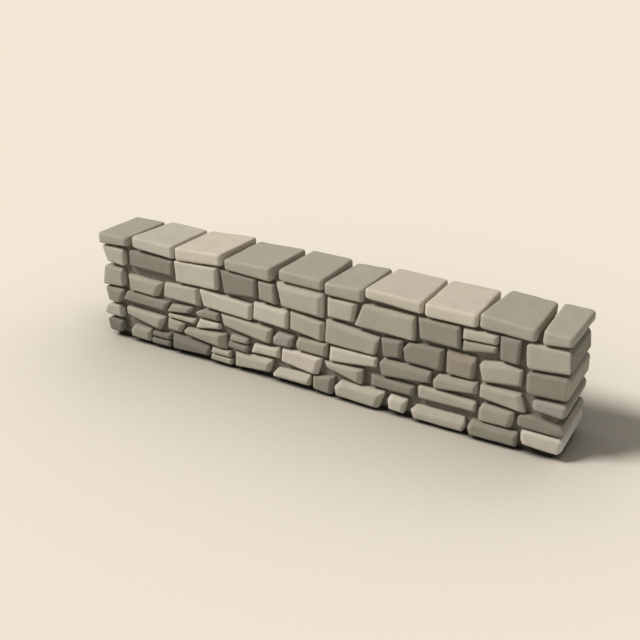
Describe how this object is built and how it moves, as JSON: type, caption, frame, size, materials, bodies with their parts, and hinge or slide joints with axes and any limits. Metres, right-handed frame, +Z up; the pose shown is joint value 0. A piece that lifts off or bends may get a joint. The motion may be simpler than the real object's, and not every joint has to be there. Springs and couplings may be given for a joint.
{
  "type": "dry stone wall",
  "caption": "Free-standing dry stone wall with two built ends, battered faces in rough courses, a packed core and flat coping slabs.",
  "frame": {"origin": "middle of the wall's foot, on the ground", "axes": "+X along the wall, to the right seen from the front; +Y from the front to the back; +Z up"},
  "size_m": [4.0468, 0.5578, 0.9656],
  "materials": {
    "walling_stone": "weathered, rubbed limestone",
    "coping_stone": "weathered, rubbed limestone",
    "packed_stone": "small packed stones in shade, with soil in the joints"
  },
  "bodies": {
    "root": {"back_course_1": "walling_stone", "back_course_2": "walling_stone", "back_course_3": "walling_stone", "back_course_4": "walling_stone", "back_course_5": "walling_stone", "coping_slab_01": "coping_stone", "coping_slab_02": "coping_stone", "coping_slab_03": "coping_stone", "coping_slab_04": "coping_stone", "coping_slab_05": "coping_stone", "coping_slab_06": "coping_stone", "coping_slab_07": "coping_stone", "coping_slab_08": "coping_stone", "coping_slab_09": "coping_stone", "coping_slab_10": "coping_stone", "front_course_1": "walling_stone", "front_course_2": "walling_stone", "front_course_3": "walling_stone", "front_course_4": "walling_stone", "front_course_5": "walling_stone", "hearting_core": "packed_stone", "left_end_stone_1": "walling_stone", "left_end_stone_2": "walling_stone", "left_end_stone_3": "walling_stone", "left_end_stone_4": "walling_stone", "left_end_stone_5": "walling_stone", "right_end_stone_1": "walling_stone", "right_end_stone_2": "walling_stone", "right_end_stone_3": "walling_stone", "right_end_stone_4": "walling_stone", "right_end_stone_5": "walling_stone"}
  },
  "joints": []
}
